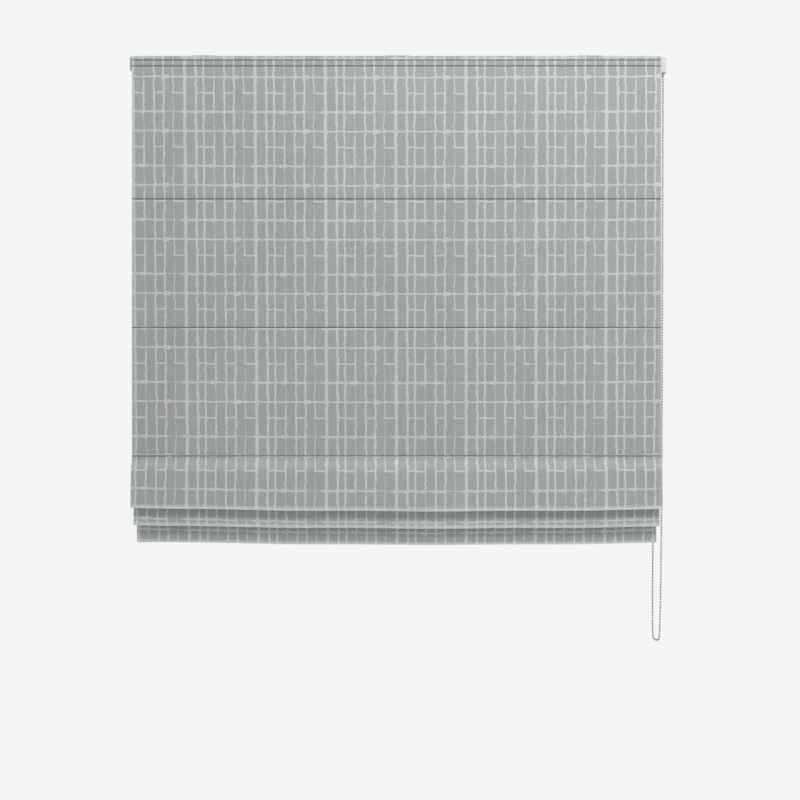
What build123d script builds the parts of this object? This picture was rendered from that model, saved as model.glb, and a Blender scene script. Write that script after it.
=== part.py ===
"""Roman blind with a side chain drive, drawn up part of its drop.

Frame: +X along the headrail towards the chain, -Y towards the room, +Z up. The origin is on the
mounting face, the plane of the brackets' tops, at the middle bracket's centre. Millimetres.
"""

import os
from math import atan2, cos, pi, remainder, sin, tan

from build123d import *

# ---- Driving dimensions -------------------------------------------------------------------------
# Cloth
CLOTH_LEFT = -548.0  # the cloth's left edge
CLOTH_RIGHT = 544.0  # the cloth's right edge, short of the chain
FACE_THICK = 1.0  # woven face cloth with its interlining
LINING_THICK = 0.5
CLOTH_GAP = 0.2  # between face cloth and lining
FOLD_INSET = 5.0  # each side of the second fold stands back by this from the front one
HEM_INSET = 10.0  # each side of the hem panel stands back by this from the front fold

# Depths below the mounting face at which the rods hang, and the lowest edges of the folds
ROD_DEPTHS = [299.0, 564.0, 829.0, 856.0, 870.0]
FRONT_FOLD_DEPTH = 937.0
SECOND_FOLD_DEPTH = 973.0
HEM_DEPTH = 1008.0

# Headrail
RAIL_PAST_CLOTH = 2.0  # the rail's left end stands this far past the cloth
RAIL_INSIDE_CLOTH = 16.0  # the rail's right end stops this far inside the cloth, for the drive
RAIL_DEEP = 40.0  # front to back
RAIL_HIGH = 30.0
RAIL_WALL = 1.6
RAIL_DROP = 3.0  # from the mounting face to the rail's top
SLOT_WIDE = 16.0  # slot along the rail's top that takes the brackets' feet
SLOT_HIGH = 3.0
LIP_WIDE = 5.0  # lips along the rail's open bottom

# Brackets
BRACKET_X = [-400.0, 0.0, 400.0]
BRACKET_LONG = 50.0
BRACKET_DEEP = 30.0
BRACKET_THICK = 1.5
BRACKET_HOLE_R = 2.25
BRACKET_HOLE_PITCH = 34.0
FOOT_LONG = 18.0
FOOT_WIDE = 20.0
FOOT_NECK = 14.0
FOOT_THICK = 1.8

# Lift system
CORD_X = [-446.0, -149.0, 149.0, 446.0]
CORD_R = 0.6
SPOOL_R = 7.0
SPOOL_FLANGE_HIGH = 2.0
SPOOL_LONG = 26.0
SPOOL_JOURNAL_R = 4.6
WINDING_LONG = 11.0
SHAFT_FLATS = 6.0  # hexagonal shaft, across flats
SHAFT_DROP = 18.0  # from the rail's top to the shaft's centre
RUNNING_GAP = 0.1
PLAY = 0.4  # between pieces that pass each other without touching
CRADLE_WALL = 2.5
CRADLE_FLOOR = 1.0
CRADLE_DEEP = 34.0
CRADLE_HIGH = 22.0

# Rods, rings and bottom bar
ROD_R = 2.0
ROD_END_GAP = 8.0  # from the rod's end to the cloth's edge
POCKET_THICK = 0.5
POCKET_GAP = 0.4
RING_GAP = 0.15  # between a ring and the pocket that it is sewn to
RING_R = 4.0
RING_WIRE_R = 0.8
TOGGLE_R = 4.0
TOGGLE_HIGH = 10.0
BAR_HIGH = 24.0
BAR_THICK = 4.0
BAR_END_GAP = 6.0
BAR_CAP_LONG = 3.0
BAR_HEM = 3.0  # cloth below the bar

# Tapes that hold the cloth on the rail
TAPE_THICK = 1.2
TAPE_HIGH = 20.0
TAPE_DROP = 2.0  # from the rail's top to the tapes' top

# Chain drive
BEAD_R = 2.25
BEAD_PITCH = 6.0
WHEEL_POCKETS = 15
WHEEL_THICK = 7.6
WHEEL_HUB_R = 6.0
CHAIN_CLEAR = 5.0  # from the cloth's right edge to the chain's middle
CHAIN_DROP = 1214.0  # from the mounting face to the loop's lowest bead
HOUSING_WALL = 2.0
HOUSING_DROP = 1.6
HOUSING_LOW = 38.0
COVER_THICK = 2.0
CAP_THICK = 3.0
CAP_PLUG = 14.0
DRUM_WALL = 2.0
SPRING_WALL = 1.6

# ---- Values that follow -------------------------------------------------------------------------
RAIL_LEFT = CLOTH_LEFT - RAIL_PAST_CLOTH
RAIL_RIGHT = CLOTH_RIGHT - RAIL_INSIDE_CLOTH
CHAIN_X = CLOTH_RIGHT + CHAIN_CLEAR
RAIL_TOP = -RAIL_DROP
RAIL_BOTTOM = RAIL_TOP - RAIL_HIGH
RAIL_FRONT = -RAIL_DEEP / 2
WEB_TOP = RAIL_TOP - RAIL_WALL - SLOT_HIGH
SHAFT_Z = RAIL_TOP - SHAFT_DROP
TAPE_TOP = RAIL_TOP - TAPE_DROP
FACE_Y = RAIL_FRONT - 2 * TAPE_THICK - LINING_THICK - CLOTH_GAP - FACE_THICK / 2
CLOTH_TOP = TAPE_TOP + TAPE_DROP / 2
LINING_NEAR = FACE_THICK / 2 + CLOTH_GAP
LINING_FAR = LINING_NEAR + LINING_THICK
SPOOL_FLANGE_R = SPOOL_R + SPOOL_FLANGE_HIGH
CORD_Y = -(SPOOL_R + CORD_R + 0.15)
POCKET_R = ROD_R + POCKET_GAP + POCKET_THICK
ROD_Y = CORD_Y - RING_R - RING_WIRE_R - RING_GAP - POCKET_R
CLOTH_MIDDLE = (CLOTH_LEFT + CLOTH_RIGHT) / 2
CHAIN_R = WHEEL_POCKETS * BEAD_PITCH / (2 * pi)
HOUSING_LEFT = RAIL_RIGHT
HOUSING_RIGHT = CHAIN_X + WHEEL_THICK / 2 + PLAY
BORE_R = CHAIN_R + BEAD_R + 2 * PLAY
PARTS = "parts"
os.makedirs(PARTS, exist_ok=True)


def keep(part, name):
    """Labels a finished piece and writes its STEP file."""
    part.label = name
    export_step(part, f"{PARTS}/{name}.step")


def shifted(corners, distance):
    """The corners' polyline moved to the left of its own direction by distance, with mitred corners."""
    headings = [atan2(b[1] - a[1], b[0] - a[0]) for a, b in zip(corners, corners[1:])]
    headings = [headings[0], *headings, headings[-1]]
    moved = []
    for (y, z, _), before, after in zip(corners, headings, headings[1:]):
        half_turn = remainder(after - before, 2 * pi) / 2
        reach = distance / cos(half_turn)
        moved.append((y - reach * sin(before + half_turn), z + reach * cos(before + half_turn)))
    return moved


def bends(corners, distance):
    """Fillet radii of the shifted polyline, so that every layer of the cloth shares its bends' centres."""
    radii = []
    for before, (y, z, radius), after in zip(corners, corners[1:], corners[2:]):
        cross = (y - before[0]) * (after[1] - z) - (z - before[1]) * (after[0] - y)
        radii.append(radius - distance if cross > 0 else radius + distance)
    return radii


def ribbon(corners, near, far, inset):
    """A layer of cloth between two distances behind the path, held in from the cloth's edges by inset."""
    with BuildPart() as layer:
        with BuildSketch(Plane.YZ.offset(CLOTH_LEFT + inset)):
            with BuildLine():
                front = FilletPolyline(*shifted(corners, near), radius=bends(corners, near))
                back = FilletPolyline(*shifted(corners, far), radius=bends(corners, far))
                Line(front @ 0, back @ 0)
                Line(front @ 1, back @ 1)
            make_face()
        extrude(amount=CLOTH_RIGHT - CLOTH_LEFT - 2 * inset)
    return layer.part


def along_x(radius, left, right, y, z):
    """A round bar along X between two places, added to the piece being made."""
    with BuildSketch(Plane.YZ.offset(left)) as disc:
        with Locations((y, z)):
            Circle(radius)
    extrude(disc.sketch, amount=right - left)


# ---- The cloth's section ------------------------------------------------------------------------
# Corners are (behind the face cloth's own plane, height, bend radius). The cloth comes down flat to
# the third rod, drops into two loops in front of the fourth and fifth rods, and ends in the hem panel.
LOOP_WIDE = 6.0
LOOP_BEND = 2.2
SEAM_HIGH = 3.4
SEAM_BACK = ROD_Y - POCKET_R - FACE_Y - LINING_FAR + 0.1  # the tuck reaches back to the rod's pocket
SEAM_BEND = 0.8
FRONT_FOLD_OUT = -19.0
SECOND_FOLD_OUT = -9.5
HEM_BACK = 2.2  # the hem panel hangs this far behind the face cloth above
third, fourth, fifth = (-depth for depth in ROD_DEPTHS[2:])


def loop(out, depth):
    """The two corners at the bottom of a hanging loop of cloth."""
    return [(out, -depth, LOOP_BEND), (out + LOOP_WIDE, -depth, LOOP_BEND)]


def seam(height):
    """The two corners of the tuck at which the cloth turns down again below a rod's seam."""
    return [
        (SEAM_BACK, height + SEAM_HIGH / 2, SEAM_BEND),
        (SEAM_BACK, height - SEAM_HIGH / 2, SEAM_BEND),
    ]


section = [(0.0, CLOTH_TOP, 0.0), (0.0, third - 8.0, 20.0), (-13.0, third - 26.0, 25.0)]
section += [*loop(FRONT_FOLD_OUT, FRONT_FOLD_DEPTH), (-9.0, fourth - 2.0, 5.0), *seam(fourth)]
section += [(-5.0, fourth - 6.0, 5.0), *loop(SECOND_FOLD_OUT, SECOND_FOLD_DEPTH)]
section += [(-1.0, fifth - 4.0, 4.0), *seam(fifth), (HEM_BACK, fifth - 8.0, 4.0), (HEM_BACK, -HEM_DEPTH, 0.0)]
route = [(FACE_Y + y, z, radius) for y, z, radius in section]
front_bottom = (FACE_Y + FRONT_FOLD_OUT + LOOP_WIDE / 2, -FRONT_FOLD_DEPTH, 0.0)
second_bottom = (FACE_Y + SECOND_FOLD_OUT + LOOP_WIDE / 2, -SECOND_FOLD_DEPTH, 0.0)
runs = [
    ([*route[:4], front_bottom], 0.0),
    ([front_bottom, *route[4:10], second_bottom], FOLD_INSET),
    ([second_bottom, *route[10:]], HEM_INSET),
]

# ---- Face cloth and lining ----------------------------------------------------------------------
with BuildPart() as face_cloth:
    for corners, inset in runs:
        add(ribbon(corners, -FACE_THICK / 2, FACE_THICK / 2, inset))
keep(face_cloth.part, "face_cloth")

lining_left = CLOTH_LEFT + 2 * PLAY
lining_right = CLOTH_RIGHT - 2 * PLAY
rod_left = CLOTH_LEFT + HEM_INSET + ROD_END_GAP
rod_right = CLOTH_RIGHT - HEM_INSET - ROD_END_GAP
pocket_left = rod_left - PLAY
pocket_right = rod_right + PLAY

with BuildPart() as lining:
    for corners, inset in runs:
        lower_edge = [*corners[:-1], (corners[-1][0], corners[-1][1] + BAR_HEM, 0.0)]
        add(ribbon(lower_edge if inset == HEM_INSET else corners, LINING_NEAR, LINING_FAR, inset + 2 * PLAY))
    for depth in ROD_DEPTHS:
        seam_y = FACE_Y + (0.0 if depth <= ROD_DEPTHS[2] else SEAM_BACK)
        with BuildSketch(Plane.YZ.offset(pocket_left)):
            with Locations((ROD_Y, -depth)):
                Circle(POCKET_R)
            tuck_long = ROD_Y - seam_y - LINING_NEAR
            with Locations((seam_y + LINING_NEAR + tuck_long / 2, -depth)):
                Rectangle(tuck_long, 2 * POCKET_THICK)
        extrude(amount=pocket_right - pocket_left)
    for depth in ROD_DEPTHS:
        with BuildSketch(Plane.YZ.offset(pocket_left)):
            with Locations((ROD_Y, -depth)):
                Circle(POCKET_R - POCKET_THICK)
        extrude(amount=pocket_right - pocket_left, mode=Mode.SUBTRACT)
keep(lining.part, "lining")

# ---- Rods in the lining's pockets, and the rings sewn behind them -------------------------------
RING_Y = CORD_Y
for number, depth in enumerate(ROD_DEPTHS, 1):
    with BuildPart() as rod:
        along_x(ROD_R, rod_left, rod_right, ROD_Y, -depth)
        fillet(rod.edges().filter_by(GeomType.CIRCLE), radius=0.6)
    keep(rod.part, f"rod_{number}")
    with BuildPart() as rings:
        for x in CORD_X:
            with BuildSketch(Plane.XZ.offset(-RING_Y)) as wire:
                with Locations((x + RING_R, -depth)):
                    Circle(RING_WIRE_R)
            revolve(axis=Axis((x, RING_Y, -depth), (0, 0, 1)))
    keep(rings.part, f"rings_{number}")

# ---- Weight bar in the hem, with its end caps ---------------------------------------------------
bar_left = CLOTH_LEFT + HEM_INSET + BAR_END_GAP
bar_right = CLOTH_RIGHT - HEM_INSET - BAR_END_GAP
bar_y = FACE_Y + HEM_BACK + LINING_FAR + PLAY + BAR_THICK / 2
bar_z = -HEM_DEPTH + BAR_HEM + BAR_HIGH / 2


def bar_section(grow):
    """The bar's rounded section, grown all round."""
    with Locations((bar_y, bar_z)):
        SlotOverall(BAR_HIGH + 2 * grow, BAR_THICK + 2 * grow, rotation=90)


with BuildPart() as bottom_bar:
    with BuildSketch(Plane.YZ.offset(bar_left)):
        bar_section(0.0)
    extrude(amount=bar_right - bar_left)
keep(bottom_bar.part, "bottom_bar")

for name, inner, outward in (("bar_cap_left", bar_left, -1), ("bar_cap_right", bar_right, 1)):
    with BuildPart() as cap:
        with BuildSketch(Plane.YZ.offset(inner)):
            bar_section(0.4)
        extrude(amount=outward * BAR_CAP_LONG)
        fillet(cap.faces().sort_by(Axis.X)[0 if outward < 0 else -1].edges(), radius=0.8)
    keep(cap.part, name)

# The bar's pocket is a strip of lining cloth sewn behind the hem
with BuildPart() as bar_pocket:
    pocket_near = bar_y + BAR_THICK / 2 + 0.4 + 0.1
    with BuildSketch(Plane.YZ.offset(bar_left - BAR_CAP_LONG)):
        with BuildLine():
            hem_y = FACE_Y + HEM_BACK + LINING_FAR
            pocket_top = bar_z + BAR_HIGH / 2 + 5.0
            Polyline(
                (hem_y, pocket_top),
                (hem_y + POCKET_THICK, pocket_top),
                (pocket_near + POCKET_THICK, pocket_top - 4.0),
                (pocket_near + POCKET_THICK, -HEM_DEPTH + 1.0),
                (hem_y, -HEM_DEPTH + 1.0),
                (hem_y, -HEM_DEPTH + 1.0 + POCKET_THICK),
                (pocket_near, -HEM_DEPTH + 1.0 + POCKET_THICK),
                (pocket_near, pocket_top - 4.5),
                (hem_y, pocket_top - 1.0),
                close=True,
            )
        make_face()
    extrude(amount=bar_right - bar_left + 2 * BAR_CAP_LONG)
keep(bar_pocket.part, "bar_pocket")

# ---- Tapes between the cloth's head and the rail ------------------------------------------------
for name, front in (("hook_tape", RAIL_FRONT - TAPE_THICK), ("loop_tape", RAIL_FRONT - 2 * TAPE_THICK)):
    tape_left = max(RAIL_LEFT, CLOTH_LEFT) + 4 * PLAY
    with BuildPart() as tape:
        with BuildSketch(Plane.YZ.offset(tape_left)):
            with Locations((front + TAPE_THICK / 2, TAPE_TOP - TAPE_HIGH / 2)):
                Rectangle(TAPE_THICK, TAPE_HIGH)
        extrude(amount=min(RAIL_RIGHT, CLOTH_RIGHT) - 4 * PLAY - tape_left)
    keep(tape.part, name)

# ---- Headrail: an aluminium channel, slotted along its top and open below ------------------------
with BuildPart() as headrail:
    with BuildSketch(Plane.YZ.offset(RAIL_LEFT)):
        with Locations((0, (RAIL_TOP + RAIL_BOTTOM) / 2)):
            RectangleRounded(RAIL_DEEP, RAIL_HIGH, 1.2)
        with Locations((0, RAIL_TOP - RAIL_WALL / 2)):
            Rectangle(SLOT_WIDE, RAIL_WALL + 0.01, mode=Mode.SUBTRACT)
        with Locations((0, RAIL_TOP - RAIL_WALL - SLOT_HIGH / 2)):
            Rectangle(RAIL_DEEP - 2 * RAIL_WALL, SLOT_HIGH, mode=Mode.SUBTRACT)
        inner_top = WEB_TOP - RAIL_WALL
        inner_bottom = RAIL_BOTTOM + RAIL_WALL
        with Locations((0, (inner_top + inner_bottom) / 2)):
            Rectangle(RAIL_DEEP - 2 * RAIL_WALL, inner_top - inner_bottom, mode=Mode.SUBTRACT)
        with Locations((0, RAIL_BOTTOM + RAIL_WALL / 2)):
            Rectangle(RAIL_DEEP - 2 * RAIL_WALL - 2 * LIP_WIDE, RAIL_WALL + 0.01, mode=Mode.SUBTRACT)
    extrude(amount=RAIL_RIGHT - RAIL_LEFT)
keep(headrail.part, "headrail")

# ---- Brackets: a plate that is screwed up, with a foot that holds the rail by its slot ------------
for name, x in zip(("bracket_left", "bracket_middle", "bracket_right"), BRACKET_X):
    foot_top = RAIL_TOP - RAIL_WALL
    with BuildPart() as bracket:
        with BuildSketch(Plane.XY.offset(-BRACKET_THICK)):
            with Locations((x, 0)):
                RectangleRounded(BRACKET_LONG, BRACKET_DEEP, 3.0)
            with Locations((x - BRACKET_HOLE_PITCH / 2, 0), (x + BRACKET_HOLE_PITCH / 2, 0)):
                Circle(BRACKET_HOLE_R, mode=Mode.SUBTRACT)
        extrude(amount=BRACKET_THICK)
        with BuildSketch(Plane.XY.offset(-BRACKET_THICK)):
            with Locations((x, 0)):
                Rectangle(FOOT_LONG, FOOT_NECK)
        extrude(amount=foot_top + BRACKET_THICK - FOOT_THICK)
        with BuildSketch(Plane.XY.offset(foot_top - FOOT_THICK)):
            with Locations((x, 0)):
                RectangleRounded(FOOT_LONG, FOOT_WIDE, 1.5)
        extrude(amount=FOOT_THICK)
    keep(bracket.part, name)

# ---- Drive shaft, spools and the cradles that carry them ----------------------------------------
cap_inner = RAIL_LEFT + CAP_PLUG
bush_right = cap_inner + 4.0
shaft_left = RAIL_LEFT + CAP_PLUG / 2
wheel_left = CHAIN_X - WHEEL_THICK / 2
hub_left = HOUSING_LEFT + HOUSING_WALL + PLAY
shaft_right = wheel_left - 1.0


def hexagon_bore(left, right):
    """The bore that takes the hexagonal shaft, cut from the piece being made."""
    with BuildSketch(Plane.YZ.offset(left)) as hexagon:
        with Locations((0, SHAFT_Z)):
            RegularPolygon(SHAFT_FLATS / 2 + RUNNING_GAP, 6, major_radius=False)
    extrude(hexagon.sketch, amount=right - left, mode=Mode.SUBTRACT)


with BuildPart() as drive_shaft:
    with BuildSketch(Plane.YZ.offset(shaft_left)):
        with Locations((0, SHAFT_Z)):
            RegularPolygon(SHAFT_FLATS / 2, 6, major_radius=False)
    extrude(amount=shaft_right - shaft_left)
    chamfer(drive_shaft.faces().filter_by(Axis.X).edges(), length=0.4)
keep(drive_shaft.part, "drive_shaft")

for number, x in enumerate(CORD_X, 1):
    flange_left = x - CORD_R - RUNNING_GAP - 2.0
    spool_left = flange_left + 2.0
    spool_right = spool_left + SPOOL_LONG - 4.0
    wall_left = flange_left - PLAY - CRADLE_WALL
    wall_right = flange_left + SPOOL_LONG + PLAY
    with BuildPart() as spool:
        along_x(SPOOL_R, flange_left, flange_left + SPOOL_LONG, 0, SHAFT_Z)
        along_x(SPOOL_FLANGE_R, flange_left, spool_left, 0, SHAFT_Z)
        along_x(SPOOL_FLANGE_R, spool_right, spool_right + 2.0, 0, SHAFT_Z)
        along_x(SPOOL_JOURNAL_R, wall_left - 1.0, wall_right + CRADLE_WALL + 1.0, 0, SHAFT_Z)
        hexagon_bore(wall_left - 1.0, wall_right + CRADLE_WALL + 1.0)
    keep(spool.part, f"spool_{number}")

    winding_left = x + CORD_R + RUNNING_GAP
    with BuildPart() as winding:
        along_x(SPOOL_R + 2 * CORD_R + 0.05, winding_left, winding_left + WINDING_LONG, 0, SHAFT_Z)
        with BuildSketch(Plane.YZ.offset(winding_left)):
            with Locations((0, SHAFT_Z)):
                Circle(SPOOL_R + 0.05)
        extrude(amount=WINDING_LONG, mode=Mode.SUBTRACT)
    keep(winding.part, f"cord_winding_{number}")

    cradle_floor = RAIL_BOTTOM + RAIL_WALL
    with BuildPart() as cradle:
        floor_long = wall_right + CRADLE_WALL - wall_left
        floor_middle = wall_left + floor_long / 2
        with BuildSketch(Plane.XY.offset(cradle_floor)):
            with Locations((floor_middle, 0)):
                Rectangle(floor_long, CRADLE_DEEP)
        extrude(amount=CRADLE_FLOOR)
        for left in (wall_left, wall_right):
            with BuildSketch(Plane.YZ.offset(left)):
                with Locations((0, cradle_floor + CRADLE_HIGH / 2)):
                    RectangleRounded(CRADLE_DEEP, CRADLE_HIGH, 1.0)
                with Locations((0, SHAFT_Z)):
                    Circle(SPOOL_JOURNAL_R + RUNNING_GAP, mode=Mode.SUBTRACT)
            extrude(amount=CRADLE_WALL)
        # A window under the spool, through which the cord hangs
        with BuildSketch(Plane.XY.offset(cradle_floor)):
            with Locations(((wall_left + CRADLE_WALL + wall_right) / 2, 0)):
                Rectangle(wall_right - wall_left - CRADLE_WALL, 2 * SPOOL_FLANGE_R + 2 * PLAY)
        extrude(amount=CRADLE_FLOOR, mode=Mode.SUBTRACT)
    keep(cradle.part, f"cradle_{number}")

    with BuildPart() as lift_cord:
        cord_low = fifth - RING_WIRE_R - PLAY
        with BuildSketch(Plane.XY.offset(cord_low)):
            with Locations((x, CORD_Y)):
                Circle(CORD_R)
        extrude(amount=SHAFT_Z - cord_low)
    keep(lift_cord.part, f"lift_cord_{number}")

# Toggles that stop the cords under the lowest rings and let go under a pull
with BuildPart() as cord_toggles:
    for x in CORD_X:
        with BuildSketch(Plane.XY.offset(cord_low)):
            with Locations((x, CORD_Y)):
                Circle(TOGGLE_R)
        extrude(amount=-TOGGLE_HIGH, taper=6)
    fillet(cord_toggles.edges().group_by(Axis.Z)[-1], radius=0.8)
keep(cord_toggles.part, "cord_toggles")

# ---- Left end: cap with a bearing, and the bush that turns in it --------------------------------
with BuildPart() as end_cap:
    with BuildSketch(Plane.YZ.offset(RAIL_LEFT)):
        with Locations((0, (RAIL_TOP + RAIL_BOTTOM) / 2)):
            RectangleRounded(RAIL_DEEP, RAIL_HIGH, 2.0)
    extrude(amount=-CAP_THICK)
    fillet(end_cap.faces().sort_by(Axis.X)[0].edges(), radius=1.0)
    along_x(8.0, RAIL_LEFT, cap_inner, 0, SHAFT_Z)
    with BuildSketch(Plane.YZ.offset(RAIL_LEFT)):
        with Locations((0, SHAFT_Z)):
            Rectangle(RAIL_DEEP - 2 * RAIL_WALL - 2 * PLAY, 3.0)
    extrude(amount=CAP_PLUG)
    with BuildSketch(Plane.YZ.offset(RAIL_LEFT + 2.0)):
        with Locations((0, SHAFT_Z)):
            Circle(5.5 + RUNNING_GAP)
    extrude(amount=CAP_PLUG, mode=Mode.SUBTRACT)
keep(end_cap.part, "end_cap")

with BuildPart() as idler_bush:
    along_x(5.5, RAIL_LEFT + 2.0 + PLAY, cap_inner - PLAY, 0, SHAFT_Z)
    along_x(7.0, cap_inner + PLAY / 2, bush_right, 0, SHAFT_Z)
    along_x(5.0, cap_inner - PLAY - 0.1, cap_inner + PLAY, 0, SHAFT_Z)
    hexagon_bore(RAIL_LEFT + 2.0, bush_right)
keep(idler_bush.part, "idler_bush")

# ---- Chain drive at the right end ---------------------------------------------------------------
hub_right = CHAIN_X + WHEEL_THICK / 2
with BuildPart() as chain_wheel:
    along_x(CHAIN_R - 0.2, wheel_left, hub_right, 0, SHAFT_Z)
    with BuildSketch(Plane.XY.offset(SHAFT_Z)):
        with Locations((CHAIN_X, CHAIN_R)):
            Circle(BEAD_R + PLAY)
    revolve(axis=Axis((CHAIN_X, 0, SHAFT_Z), (1, 0, 0)), mode=Mode.SUBTRACT)
    along_x(WHEEL_HUB_R, hub_left, wheel_left, 0, SHAFT_Z)
    hexagon_bore(hub_left, wheel_left)
    with BuildSketch(Plane.YZ.offset(CHAIN_X - 1.0)):
        with Locations((0, SHAFT_Z)):
            Circle(4.0)
    extrude(amount=WHEEL_THICK, mode=Mode.SUBTRACT)
    with BuildSketch(Plane.YZ.offset(wheel_left)):
        with Locations((0, SHAFT_Z)):
            with PolarLocations(8.0, 5):
                Circle(1.6)
    extrude(amount=WHEEL_THICK, mode=Mode.SUBTRACT)
keep(chain_wheel.part, "chain_wheel")

spring_near = WHEEL_HUB_R + RUNNING_GAP
spring_far = spring_near + SPRING_WALL
drum_near = spring_far + 0.3
drum_far = drum_near + DRUM_WALL
works_left = hub_left + 1.0
works_right = wheel_left - 1.5
with BuildPart() as clutch_spring:
    with BuildSketch(Plane.YZ.offset(works_left + 0.5)):
        with Locations((0, SHAFT_Z)):
            Circle(spring_far)
            Circle(spring_near, mode=Mode.SUBTRACT)
    extrude(amount=works_right - works_left - 1.0)
keep(clutch_spring.part, "clutch_spring")

with BuildPart() as clutch_drum:
    with BuildSketch(Plane.YZ.offset(HOUSING_LEFT + HOUSING_WALL)):
        with Locations((0, SHAFT_Z)):
            Circle(drum_far)
            Circle(drum_near, mode=Mode.SUBTRACT)
    extrude(amount=works_right - HOUSING_LEFT - HOUSING_WALL)
keep(clutch_drum.part, "clutch_drum")

housing_high = HOUSING_LOW - HOUSING_DROP
housing_middle = -(HOUSING_LOW + HOUSING_DROP) / 2
with BuildPart() as drive_housing:
    with BuildSketch(Plane.YZ.offset(HOUSING_LEFT)):
        with Locations((0, housing_middle)):
            RectangleRounded(RAIL_DEEP, housing_high, 3.0)
    extrude(amount=HOUSING_RIGHT - HOUSING_LEFT)
    with BuildSketch(Plane.YZ.offset(HOUSING_LEFT + HOUSING_WALL)):
        with Locations((0, SHAFT_Z)):
            Circle(BORE_R)
    extrude(amount=HOUSING_RIGHT - HOUSING_LEFT, mode=Mode.SUBTRACT)
    with BuildSketch(Plane.YZ.offset(HOUSING_LEFT)):
        with Locations((0, SHAFT_Z)):
            Circle(SHAFT_FLATS / 2 + 1.0)
    extrude(amount=HOUSING_WALL, mode=Mode.SUBTRACT)
    with BuildSketch(Plane.XY.offset(-HOUSING_LOW)):
        with Locations((CHAIN_X, -CHAIN_R), (CHAIN_X, CHAIN_R)):
            Rectangle(WHEEL_THICK, 2 * BEAD_R + 2 * PLAY)
    extrude(amount=HOUSING_LOW + SHAFT_Z, mode=Mode.SUBTRACT)
    with BuildSketch(Plane.YZ.offset(HOUSING_LEFT)):
        with Locations((0, inner_top - 3.0)):
            Rectangle(24.0, 2.0)
    extrude(amount=-8.0)
keep(drive_housing.part, "drive_housing")

with BuildPart() as drive_cover:
    with BuildSketch(Plane.YZ.offset(HOUSING_RIGHT)):
        with Locations((0, housing_middle)):
            RectangleRounded(RAIL_DEEP, housing_high, 3.0)
    extrude(amount=COVER_THICK)
    fillet(drive_cover.faces().sort_by(Axis.X)[-1].edges(), radius=1.0)
    along_x(4.0 - RUNNING_GAP, CHAIN_X - 1.0 + PLAY, HOUSING_RIGHT, 0, SHAFT_Z)
keep(drive_cover.part, "drive_cover")

# ---- Bead chain: one endless loop over the wheel ------------------------------------------------
# Corners of the hanging stretch, from where it leaves the wheel at the front, down, round and back up.
loop_low = -CHAIN_DROP + BEAD_R
chain_corners = [
    (CHAIN_X, -CHAIN_R, SHAFT_Z),
    (CHAIN_X, -CHAIN_R, -HOUSING_LOW - 12.0),
    (CHAIN_X - 2.5, -CHAIN_R, loop_low + 260.0),
    (CHAIN_X - 6.0, -12.0, loop_low + 8.5),
    (CHAIN_X - 8.5, -5.2, loop_low),
    (CHAIN_X - 15.5, 5.2, loop_low),
    (CHAIN_X - 18.0, 12.0, loop_low + 8.5),
    (CHAIN_X - 16.0, CHAIN_R, loop_low + 260.0),
    (CHAIN_X, CHAIN_R, -HOUSING_LOW - 12.0),
    (CHAIN_X, CHAIN_R, SHAFT_Z),
]


def arc_radii(points):
    """Each corner's radius: 0.45 of its shorter run over the tangent of half the turn."""
    radii = []
    for before, here, after in zip(points, points[1:], points[2:]):
        run_in = Vector(here) - Vector(before)
        run_out = Vector(after) - Vector(here)
        half_turn = run_in.get_angle(run_out) * pi / 360
        radii.append(0.45 * min(run_in.length, run_out.length) / tan(half_turn))
    return radii


chain_radii = arc_radii(chain_corners)
print("bead chain radii", [round(radius, 1) for radius in chain_radii])
with BuildPart() as bead_chain:
    with BuildLine() as hanging:
        FilletPolyline(*chain_corners, radius=chain_radii)
    with BuildSketch(Plane(origin=hanging.line @ 0, z_dir=hanging.line % 0)):
        Circle(BEAD_R)
    sweep(path=hanging.line)
    with BuildSketch(Plane.XY.offset(SHAFT_Z)):
        with Locations((CHAIN_X, -CHAIN_R)):
            Circle(BEAD_R)
    revolve(axis=Axis((CHAIN_X, 0, SHAFT_Z), (1, 0, 0)), revolution_arc=-180)
keep(bead_chain.part, "bead_chain")
chain_long = hanging.wire().length + pi * CHAIN_R
print("bead chain length", round(chain_long, 1))
print("bead chain volume over section times length", bead_chain.part.volume / (chain_long * pi * BEAD_R**2))

face_long = 0.0
for corners, _ in runs:
    with BuildLine() as middle:
        FilletPolyline(*[(y, z) for y, z, _ in corners], radius=[radius for *_, radius in corners[1:-1]])
    face_long += middle.wire().length
    print("cloth run", round(middle.wire().length, 1))
print("face cloth length", round(face_long, 1))
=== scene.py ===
"""Roman blind maker: woven cloth, lining, lift cords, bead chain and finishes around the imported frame.

Lengths are in metres in the frame's own axes: +X along the headrail towards the chain, -Y towards
the room, +Z up, with the origin on the mounting face.
"""

from math import atan2, ceil, cos, hypot, pi, radians, sin, tan

import bpy
from bpy.props import FloatProperty, FloatVectorProperty, IntProperty, PointerProperty
from bpy.types import Operator, Panel, PropertyGroup
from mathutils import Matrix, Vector, noise


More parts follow.
